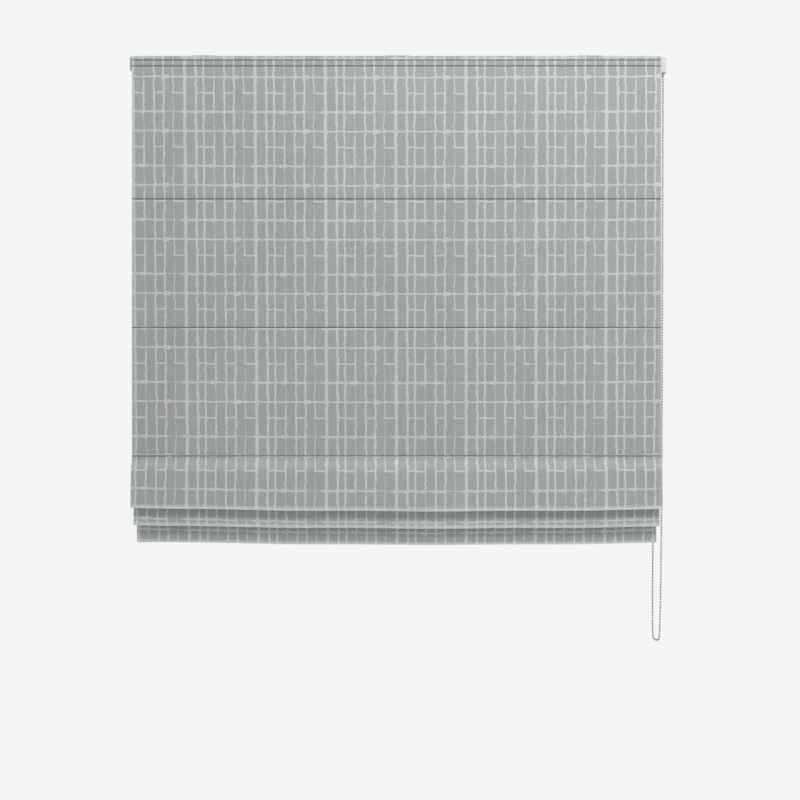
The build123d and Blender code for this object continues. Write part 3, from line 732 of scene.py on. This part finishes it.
def ball(shape, centre, radius, axis):
    """Adds a bead, with a flat land at each end where its wire enters."""
    axis = axis.normalized()
    side = axis.orthogonal().normalized()
    across = axis.cross(side)
    start = len(shape.points)
    for ring in range(BEAD_RINGS + 1):
        polar = BEAD_LAND + (pi - 2 * BEAD_LAND) * ring / BEAD_RINGS
        for part in range(BEAD_SIDES):
            angle = 2 * pi * part / BEAD_SIDES
            out = side * cos(angle) + across * sin(angle)
            shape.point(tuple(centre + radius * (out * sin(polar) - axis * cos(polar))))
    shape.join(start, BEAD_SIDES, BEAD_RINGS + 1)


def beads(places, cords):
    """Beads at the places, and the wire between them."""
    shape = Shape()
    for number, place in enumerate(places):
        ahead = places[min(number + 1, len(places) - 1)] - places[max(number - 1, 0)]
        ball(shape, place, cords.bead_radius, ahead)
        if number:
            tube(shape, [places[number - 1], place], cords.link_radius, 6, ends=False)
    return shape


# A stitch: shares of its length, and how far it dives into the cloth there
STITCH_LINE = ((-0.5, 0.00015), (-0.34, 0.0), (0.0, -0.0001), (0.34, 0.0), (0.5, 0.00015))


def stitches(name, left, right, y, z, material, settings, thick=0.00028, long=0.0023):
    """A run of stitches: each a small rounded thread that dives into the cloth at both ends."""
    shape = Shape()
    pitch = settings.stitch_pitch
    for number in range(int((right - left) / pitch)):
        x = left + pitch * (number + 0.5)
        sway = 0.00025 * noise.noise(Vector((x * 90.0, 5.0, z * 31.0)))
        lift = hang(x, z, settings.ripple)
        line = [Vector((x + along * long, y + lift + dive, z + sway)) for along, dive in STITCH_LINE]
        tube(shape, line, thick, 6)
    return shape.piece(name, [material])


def spaced(line, pitch):
    """Points at even distances along a line, near a pitch."""
    runs = [0.0]
    for a, b in zip(line, line[1:]):
        runs.append(runs[-1] + (b - a).length)
    count = round(runs[-1] / pitch)
    places, at = [], 0
    for number in range(count + 1):
        want = runs[-1] * number / count
        while at < len(runs) - 2 and runs[at + 1] < want:
            at += 1
        share = (want - runs[at]) / max(runs[at + 1] - runs[at], 1e-9)
        places.append(line[at].lerp(line[at + 1], min(1.0, share)))
    return places


# ---- The cloth's section, by body ---------------------------------------------------------------
def section(*corners):
    """Corners in millimetres behind the face cloth's plane and below the mounting face, in metres."""
    return [(FACE_Y + y * MM, z * MM, radius * MM) for y, z, radius in corners]


FRONT_LEG = section((0, -829, 0), (0, -837, 20), (-13, -855, 25), (-19, -937, 2.2), (-16, -937, 0))
FRONT_BACK = section((-16, -937, 0), (-13, -937, 2.2), (-9, -858, 5), (4, -854.3, 0.8), (4, -856, 0))
SECOND_LEG = section((4, -856, 0), (4, -857.7, 0.8), (-5, -862, 5), (-9.5, -973, 2.2), (-6.5, -973, 0))
SECOND_BACK = section((-6.5, -973, 0), (-3.5, -973, 2.2), (-1, -874, 4), (4, -868.3, 0.8), (4, -870, 0))
HEM_FACE = section((4, -870, 0), (4, -871.7, 0.8), (2.2, -878, 4), (2.2, -1008, 0))
HEM_LINING = section((4, -870, 0), (4, -871.7, 0.8), (2.2, -878, 4), (2.2, -1005, 0))
FRONT_SAG = (-0.840, -0.930)
SECOND_SAG = (-0.864, -0.966)
# The face cloth's side turnings, how far the lining reaches over them, and the hidden layers' ends
RETURN_WIDE = 0.024
RETURN_FAR = 0.0011
LINING_OVER = 0.006
FRONT_RESERVE_TOP, SECOND_RESERVE_TOP = -0.752, -0.748
# Cloth that the pockets of the fourth rod, and of both the lowest, take up
FOURTH_POCKET, BOTH_POCKETS = 0.0225, 0.0360


def straight(top, bottom, along=None):
    """Samples of a flat panel between two heights, run from the cloth's top edge if along isn't given."""
    shift = (CLOTH_TOP - top) if along is None else along
    close_up = [z for z, _ in SEAMS + TOP_LINES]
    flat = trace([(FACE_Y, top, 0.0), (FACE_Y, bottom, 0.0)], close_up)
    return [(*sample[:4], sample[4] + shift) for sample in flat]


def painted_highlight_at(edge, reach=0.009):
    """Painted highlight: a mark that is 1 at one end of a leg, along the fold's pressed edge, and dies
    away from it.
    """
    def mark(along, long):
        away = along if edge == "start" else long - along
        return min(1.0, 1.5 * max(0.0, 1.0 - away / reach))
    return mark


def panel(name, body, layer, samples, inset, settings, run=0.0, fold=None, dip=False):
    """One piece of face cloth with its side turnings, or of lining, on one body."""
    left, right = CLOTH_LOW.x + inset, CLOTH_HIGH.x - inset
    shape = Shape()
    if layer == "face":
        lay(shape, samples, FACE_NEAR, FACE_FAR, left, right, settings, run, fold, dip=dip)
        for start, end in ((left, left + RETURN_WIDE), (right - RETURN_WIDE, right)):
            lay(shape, samples, FACE_FAR, RETURN_FAR, start, end, settings, run, fold, wide=0.012)
        made = shape.piece(name, [MATERIALS["cloth"]])
        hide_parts("face_cloth")
    else:
        left, right = left + RETURN_WIDE - LINING_OVER, right - RETURN_WIDE + LINING_OVER
        lay(shape, samples, LINING_NEAR, LINING_FAR + 0.0001, left, right, settings, run, fold)
        made = shape.piece(name, [MATERIALS["lining"]])
        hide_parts("lining")
    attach(made, body)
    return made


MATERIALS = {}


CAMERA_X, CAMERA_Z = 0.005, -0.7135
FLOOR_Y, FLOOR_SIDES = -1.7, 96
LIGHT_TURNS = 0.35
LAMPS_AIM = Vector((0.0, 0.0, -0.6))
LAMPS = (
    ("key_softbox", (1.6, -1.8, 2.2), 1.0, 92.0),
    ("fill_softbox", (-2.2, -2.4, 0.2), 2.0, 6.0),
    ("top_softbox", (0.2, -0.7, 1.7), 0.9, 12.0),
)


class BLIND_OT_stage(Operator):
    """Make the camera, the pale round floor, the studio's light and three soft lamps"""

    bl_idname = "blind.stage"
    bl_label = "Stage"

    def execute(self, context):
        stage = context.scene.blind_stage
        scene = context.scene
        view = bpy.data.cameras.new("camera")
        view.sensor_width = 36.0
        view.lens = view.sensor_width * stage.distance / stage.view_width
        view.clip_end = 60.0
        camera = bpy.data.objects.new("camera", view)
        camera.location = (CAMERA_X, FACE_Y - stage.distance, CAMERA_Z)
        camera.rotation_euler = (radians(90), 0.0, 0.0)
        scene.collection.objects.link(camera)
        scene.camera = camera

        graph = Graph("stage_paper", roughness=0.9)
        grain = graph.noise(graph.place(), 900.0, 2.0, 0.5)
        colour = tuple(stage.floor)
        tone = graph.mix(graph.between(grain, 0.3, 0.7), colour, scaled(colour, 0.985))
        shape = Shape()
        middle = shape.point((0.0, FLOOR_Y, stage.floor_height))
        for part in range(FLOOR_SIDES):
            angle, reach = 2 * pi * part / FLOOR_SIDES, stage.floor_radius
            shape.point((reach * cos(angle), reach * sin(angle) + FLOOR_Y, stage.floor_height))
        for part in range(FLOOR_SIDES):
            shape.face((middle, 1 + part, 1 + (part + 1) % FLOOR_SIDES))
        paper = graph.finish(tone)
        shape.piece("stage_floor", [paper])

        # A studio that is bright behind the blind and softer ahead of it
        world = bpy.data.worlds.new("soft_room")
        scene.world = world
        world.use_nodes = True
        nodes, links = world.node_tree.nodes, world.node_tree.links
        way = nodes.new("ShaderNodeSeparateXYZ")
        links.new(nodes.new("ShaderNodeTexCoord").outputs["Generated"], way.inputs[0])
        level = nodes.new("ShaderNodeMapRange")
        level.interpolation_type = "SMOOTHSTEP"
        links.new(way.outputs[1], level.inputs[0])
        ends = (-LIGHT_TURNS, LIGHT_TURNS, stage.ahead, stage.behind)
        for socket, value in zip(level.inputs[1:5], ends):
            socket.default_value = value
        links.new(level.outputs[0], nodes["Background"].inputs["Strength"])
        nodes["Background"].inputs["Color"].default_value = (1.0, 1.0, 1.0, 1.0)
        for name, place, size, power in LAMPS:
            light = bpy.data.lights.new(name, "AREA")
            light.shape = "DISK"
            light.size = size
            light.energy = power
            lamp = bpy.data.objects.new(name, light)
            lamp.location = place
            lamp.rotation_euler = (LAMPS_AIM - Vector(place)).to_track_quat("-Z", "Y").to_euler()
            scene.collection.objects.link(lamp)
        scene.view_settings.view_transform = "Standard"
        return {"FINISHED"}


# Corners of the chain's hanging stretch: off the wheel's front, down, round and back up to the wheel
CHAIN_ROUTE = (
    (0.5490, -0.014324, -0.02100),
    (0.5490, -0.014324, -0.05000),
    (0.5465, -0.014324, -0.95175),
    (0.5430, -0.012000, -1.20325),
    (0.5405, -0.005200, -1.21175),
    (0.5335, 0.005200, -1.21175),
    (0.5310, 0.012000, -1.20325),
    (0.5330, 0.014324, -0.95175),
    (0.5490, 0.014324, -0.05000),
    (0.5490, 0.014324, -0.02100),
)
WHEEL_RADIUS = 0.014324
CHAIN_X = 0.549


class BLIND_OT_chain(Operator):
    """Make the endless bead chain: beads and their wire along the hanging loop and over the wheel"""

    bl_idname = "blind.chain"
    bl_label = "Bead chain"

    def execute(self, context):
        cords = context.scene.blind_cords
        curve = bpy.data.curves.new("chain_route", "CURVE")
        curve.dimensions = "3D"
        curve.resolution_u = 48
        spline = curve.splines.new("NURBS")
        spline.points.add(len(CHAIN_ROUTE) - 1)
        for point, place in zip(spline.points, CHAIN_ROUTE):
            point.co = (*place, 1.0)
        spline.order_u = 3
        spline.use_endpoint_u = True
        guide = bpy.data.objects.new("chain_route", curve)
        mesh = bpy.data.meshes.new_from_object(guide)
        line = [Vector(vertex.co) for vertex in mesh.vertices]
        bpy.data.meshes.remove(mesh)
        bpy.data.objects.remove(guide)
        bpy.data.curves.remove(curve)

        nickel = tuple(context.scene.blind_finish.nickel)
        material = metal_material("chain_nickel", nickel, 0.2, (60.0, 60.0, 900.0), 0.15)
        shape = beads(spaced(line, cords.bead_pitch), cords)
        chain = shape.piece("bead_chain_loop", [material], sharp=60.0)
        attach(chain, "rail")
        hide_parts("bead_chain")

        step = 2 * pi / cords.wheel_pockets
        turns = [step * number for number in range(1, cords.wheel_pockets // 2 + 1)]
        arc = [
            Vector((CHAIN_X, -WHEEL_RADIUS * cos(turn), SHAFT_Z + WHEEL_RADIUS * sin(turn)))
            for turn in turns
        ]
        seated = beads(arc, cords).piece("bead_chain_on_wheel", [material], sharp=60.0)
        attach(seated, "rail")
        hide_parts("bead_chain")
        return {"FINISHED"}


TOGGLE_TOP = 0.0012
CORD_STEP, CORD_SIDES = 0.012, 10
SPOOL_RADIUS, WINDING_GAP = 0.007, 0.00005
WINDING_TURNS, TURN_PARTS, WINDING_SIDES = 8, 20, 8


class BLIND_OT_lift_cords(Operator):
    """Make the four lift cords from their spools through the rings to the toggles, and their windings"""

    bl_idname = "blind.lift_cords"
    bl_label = "Lift cords"

    def execute(self, context):
        radius = context.scene.blind_cords.cord_radius
        material = cord_material((0.80, 0.80, 0.77))
        stops = [SHAFT_Z, *ROD_HEIGHTS]
        stops[-1] -= TOGGLE_TOP
        rides = ("rail", "first_rod", "second_rod")
        for number, (top, bottom) in enumerate(zip(stops, stops[1:])):
            shape = Shape()
            parts = max(8, ceil((top - bottom) / CORD_STEP))
            heights = [top + (bottom - top) * part / parts for part in range(parts + 1)]
            for x in CORD_X:
                tube(shape, [Vector((x, CORD_Y, z)) for z in heights], radius, CORD_SIDES)
            cords = shape.piece(f"lift_cords_{number + 1}", [material], sharp=60.0)
            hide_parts(*(f"lift_cord_{n}" for n in range(1, 5)))
            if number < 3:
                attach(cords, rides[number])
                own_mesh(cords)
            else:
                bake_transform(cords)

        shape = Shape()
        wound, parts = SPOOL_RADIUS + radius + WINDING_GAP, WINDING_TURNS * TURN_PARTS
        for number in range(1, 5):
            low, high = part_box(f"cord_winding_{number}")
            left, right = low.x + radius, high.x - radius
            line = []
            for part in range(parts + 1):
                angle = 2 * pi * part / TURN_PARTS
                x = left + (right - left) * part / parts
                line.append(Vector((x, -wound * cos(angle), SHAFT_Z + wound * sin(angle))))
            tube(shape, line, radius, WINDING_SIDES)
        windings = shape.piece("cord_windings", [material], sharp=60.0)
        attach(windings, "drive")
        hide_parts(*(f"cord_winding_{n}" for n in range(1, 5)))
        return {"FINISHED"}


class BLIND_OT_cloth(Operator):
    """Make the face cloth and the lining, split at the rods so that each part moves with its own body"""

    bl_idname = "blind.cloth"
    bl_label = "Face cloth and lining"

    def execute(self, context):
        settings = context.scene.blind_cloth
        MATERIALS["cloth"] = cloth_material(settings)
        MATERIALS["lining"] = lining_material(tuple(settings.lining))
        first, second, third, fourth, fifth = ROD_HEIGHTS
        runs = [CLOTH_TOP - third]
        for corners in (FRONT_LEG, FRONT_BACK, SECOND_LEG, SECOND_BACK):
            runs.append(runs[-1] + trace(corners)[-1][4])
        # The pockets of the two lowest rods take up cloth, so the weave starts afresh under them
        runs[2:] = [runs[2] - FOURTH_POCKET, runs[3] - FOURTH_POCKET, runs[4] - BOTH_POCKETS]

        for layer in ("face", "lining"):
            dip = layer == "face"

            def make(part, body, samples, inset, run=0.0, fold=None):
                return panel(f"{layer}_{part}", body, layer, samples, inset, settings, run, fold, dip)

            top = make("top", "rail", straight(CLOTH_TOP, TOP_BAND_END), 0.0)
            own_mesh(top)
            upper = make("upper", "first_rod", straight(TOP_BAND_END, first), 0.0)
            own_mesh(upper)
            middle = make("middle", "first_rod", straight(first, second), 0.0)
            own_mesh(middle)
            lower = make("lower", "second_rod", straight(second, third), 0.0)
            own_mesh(lower)

            # Each loop's two legs, each on the body that carries it
            # pressed gives the end of each leg that carries the painted highlight along its fold
            for part, body, corners, inset, run, sag, pressed, joint, gap, keep in (
                (
                    "front_leg", "third_rod", FRONT_LEG, 0.0, runs[0], FRONT_SAG, "end",
                    "unfold", 0.0, 0.08,
                ),
                (
                    "front_back", "fourth_rod", FRONT_BACK, FOLD_INSET, runs[1], FRONT_SAG, "start",
                    "unfold", 0.0012, 0.03,
                ),
                (
                    "second_leg", "fourth_rod", SECOND_LEG, FOLD_INSET, runs[2], SECOND_SAG, "end",
                    "hem_unfold", 0.0, 0.08,
                ),
                (
                    "second_back", "hem_bar", SECOND_BACK, HEM_INSET, runs[3], SECOND_SAG, "start",
                    "hem_unfold", 0.0030, 0.03,
                ),
            ):
                leg = make(part, body, trace(corners), inset, run, (*sag, painted_highlight_at(pressed)))
                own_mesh(leg)
            hem = HEM_FACE if layer == "face" else HEM_LINING
            # Painted highlight along the bottom edge of the face cloth's hem
            fold = (0.0, -1.0, painted_highlight_at("end", 0.0045)) if layer == "face" else None
            make("hem", "hem_bar", trace(hem), HEM_INSET, runs[4], fold)

        # Cloth that the opened loops show: it waits between face cloth and lining
        for name, body, low, high, near, far, inset, run in (
            (
                "front_reserve", "fourth_rod", fourth, FRONT_RESERVE_TOP, 0.00053, 0.00059,
                FOLD_INSET, runs[1],
            ),
            (
                "second_reserve", "hem_bar", fifth, SECOND_RESERVE_TOP, 0.00061, 0.00067,
                HEM_INSET, runs[3],
            ),
        ):
            shape = Shape()
            samples = straight(high, low, along=0.0)
            left, right = CLOTH_LOW.x + inset, CLOTH_HIGH.x - inset
            lay(shape, samples, near, far, left, right, settings, run, slots=(0, 1))
            made = shape.piece(name, [MATERIALS["cloth"], MATERIALS["lining"]])
            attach(made, body)
            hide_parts("face_cloth", "lining")
        return {"FINISHED"}


# The pockets' radius, half their thickness, how far they run past a rod, and their turn round it
POCKET_RADIUS = 0.00265
POCKET_HALF = 0.00025
POCKET_PAST = 0.0004
POCKET_TURN, POCKET_PARTS = 336, 30
POCKET_COLUMN = 0.02
# How much further back the two lowest pockets are sewn, and where the seams start from a side edge
LOW_POCKET_BACK = 0.004
SEAM_START = 0.002


class BLIND_OT_sewing(Operator):
    """Make the rod pockets, the bar's pocket and the stitches"""

    bl_idname = "blind.sewing"
    bl_label = "Pockets and stitches"

    def execute(self, context):
        settings = context.scene.blind_cloth
        grey = thread_material("seam_thread", (0.13, 0.14, 0.14))
        pale = thread_material("lining_thread", (0.70, 0.69, 0.65))
        span = CLOTH_LOW.x + SEAM_START, CLOTH_HIGH.x - SEAM_START
        bodies = ("first_rod", "second_rod", "third_rod", "fourth_rod", "hem_bar")
        rods = [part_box(f"rod_{n}") for n in range(1, 6)]
        for number, (body, z, (low, high)) in enumerate(zip(bodies, ROD_HEIGHTS, rods), 1):
            seam_y = FACE_Y + LINING_FAR + (0.0 if number < 4 else LOW_POCKET_BACK)
            turn = [(seam_y, z + POCKET_HALF, 0.0, 1.0)]
            for part in range(POCKET_PARTS + 1):
                angle = radians(POCKET_TURN / 2 - POCKET_TURN * part / POCKET_PARTS)
                out, up = cos(angle), sin(angle)
                turn.append((ROD_Y + POCKET_RADIUS * out, z + POCKET_RADIUS * up, out, up))
            turn.append((seam_y, z - POCKET_HALF, 0.0, -1.0))
            run, samples = 0.0, []
            for place in turn:
                if samples:
                    run += hypot(place[0] - samples[-1][0], place[1] - samples[-1][1])
                samples.append((*place, run))
            shape = Shape()
            ends = low.x - POCKET_PAST, high.x + POCKET_PAST
            lay(shape, samples, -POCKET_HALF, POCKET_HALF, *ends, settings, wide=POCKET_COLUMN)
            pocket = shape.piece(f"rod_pocket_{number}", [MATERIALS["lining"]])
            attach(pocket, body)
            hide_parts("lining")
            if number < 4:
                ahead = stitches(
                    f"seam_stitches_{number}", *span, FACE_Y + FACE_NEAR + 0.00045, z,
                    grey, settings, 0.0003, 0.0025,
                )
                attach(ahead, body)
                behind = stitches(
                    f"pocket_stitches_{number}", low.x, high.x, FACE_Y + LINING_FAR + 0.0003, z + 0.0016,
                    pale, settings,
                )
                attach(behind, body)

        for number, (z, depth) in enumerate(TOP_LINES, 1):
            made = stitches(
                f"tape_stitches_{number}", *span, FACE_Y + FACE_NEAR + depth - 0.00015, z,
                grey, settings, 0.00022, 0.0024,
            )
            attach(made, "rail")

        # The bar's pocket: a strip of lining sewn behind the hem
        low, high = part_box("bar_pocket")
        front = FACE_Y + 0.0022 + LINING_FAR
        strip = [
            (front + POCKET_HALF, high.z, 0.0), (high.y - POCKET_HALF, high.z - 0.0042, 0.003),
            (high.y - POCKET_HALF, low.z + POCKET_HALF, 0.0012), (front, low.z + POCKET_HALF, 0.0),
        ]
        shape = Shape()
        samples = trace(strip)
        lay(shape, samples, -POCKET_HALF, POCKET_HALF, low.x, high.x, settings, wide=POCKET_COLUMN)
        pocket = shape.piece("bar_pocket_strip", [MATERIALS["lining"]])
        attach(pocket, "hem_bar")
        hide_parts("bar_pocket")
        seam = stitches(
            "bar_pocket_stitches", low.x, high.x, front + 0.0006, high.z - 0.0012, pale, settings,
        )
        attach(seam, "hem_bar")
        return {"FINISHED"}


class BLIND_OT_finishes(Operator):
    """Give the headrail, brackets, drive, rods, bar, rings and tapes their finishes"""

    bl_idname = "blind.finishes"
    bl_label = "Hardware finishes"

    def execute(self, context):
        finish = context.scene.blind_finish
        plastic = moulded_material("white_moulding", tuple(finish.plastic))
        coat = coated_material("white_powder_coat", tuple(finish.coat))
        pressed = coated_material("white_bracket_paint", scaled(finish.coat, 0.97))
        steel = metal_material("drawn_steel", tuple(finish.steel), 0.32, (8.0, 900.0, 900.0))
        spring = metal_material("oiled_spring_steel", (0.30, 0.30, 0.31), 0.28, (1400.0, 60.0, 60.0))
        fibre = moulded_material("glass_fibre_rod", (0.72, 0.72, 0.66), 0.34, 1400.0)
        mill = metal_material("mill_aluminium", (0.66, 0.66, 0.67), 0.42, (6.0, 700.0, 700.0))
        tape = tape_material((0.76, 0.76, 0.73))
        rings = ring_material()
        for material, names in (
            (coat, ("headrail",)),
            (pressed, ("bracket_left", "bracket_middle", "bracket_right")),
            (tape, ("hook_tape", "loop_tape")),
            (steel, ("drive_shaft",)),
            (spring, ("clutch_spring", "clutch_drum")),
            (mill, ("bottom_bar",)),
            (plastic, (
                "end_cap", "drive_housing", "drive_cover", "idler_bush", "chain_wheel", "cord_toggles",
                "bar_cap_left", "bar_cap_right", *(f"spool_{n}" for n in range(1, 5)),
                *(f"cradle_{n}" for n in range(1, 5)),
            )),
            (fibre, tuple(f"rod_{n}" for n in range(1, 6))),
            (rings, tuple(f"rings_{n}" for n in range(1, 6))),
        ):
            for name in names:
                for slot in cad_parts[name].material_slots:
                    slot.material = material
        return {"FINISHED"}


class BLIND_PT_maker(Panel):
    """Steps of the blind, in order"""

    bl_label = "Roman blind"
    bl_idname = "BLIND_PT_maker"
    bl_space_type = "VIEW_3D"
    bl_region_type = "UI"
    bl_category = "Blind"

    def draw(self, context):
        for operator in OPERATORS:
            self.layout.operator(operator.bl_idname)


OPERATORS = (
    BLIND_OT_stage, BLIND_OT_chain, BLIND_OT_lift_cords, BLIND_OT_cloth, BLIND_OT_sewing,
    BLIND_OT_finishes,
)
GROUPS = (
    ("blind_cloth", ClothSettings), ("blind_cords", CordSettings),
    ("blind_finish", FinishSettings), ("blind_stage", StageSettings),
)


def register():
    for name, group in GROUPS:
        bpy.utils.register_class(group)
        setattr(bpy.types.Scene, name, PointerProperty(type=group))
    for kind in (*OPERATORS, BLIND_PT_maker):
        bpy.utils.register_class(kind)


def unregister():
    for kind in reversed((*OPERATORS, BLIND_PT_maker)):
        bpy.utils.unregister_class(kind)
    for name, group in reversed(GROUPS):
        delattr(bpy.types.Scene, name)
        bpy.utils.unregister_class(group)


def main():
    register()
    bpy.ops.blind.stage()
    bpy.ops.blind.chain()
    bpy.ops.blind.lift_cords()
    bpy.ops.blind.cloth()
    bpy.ops.blind.sewing()
    bpy.ops.blind.finishes()


if __name__ == "__main__":
    main()
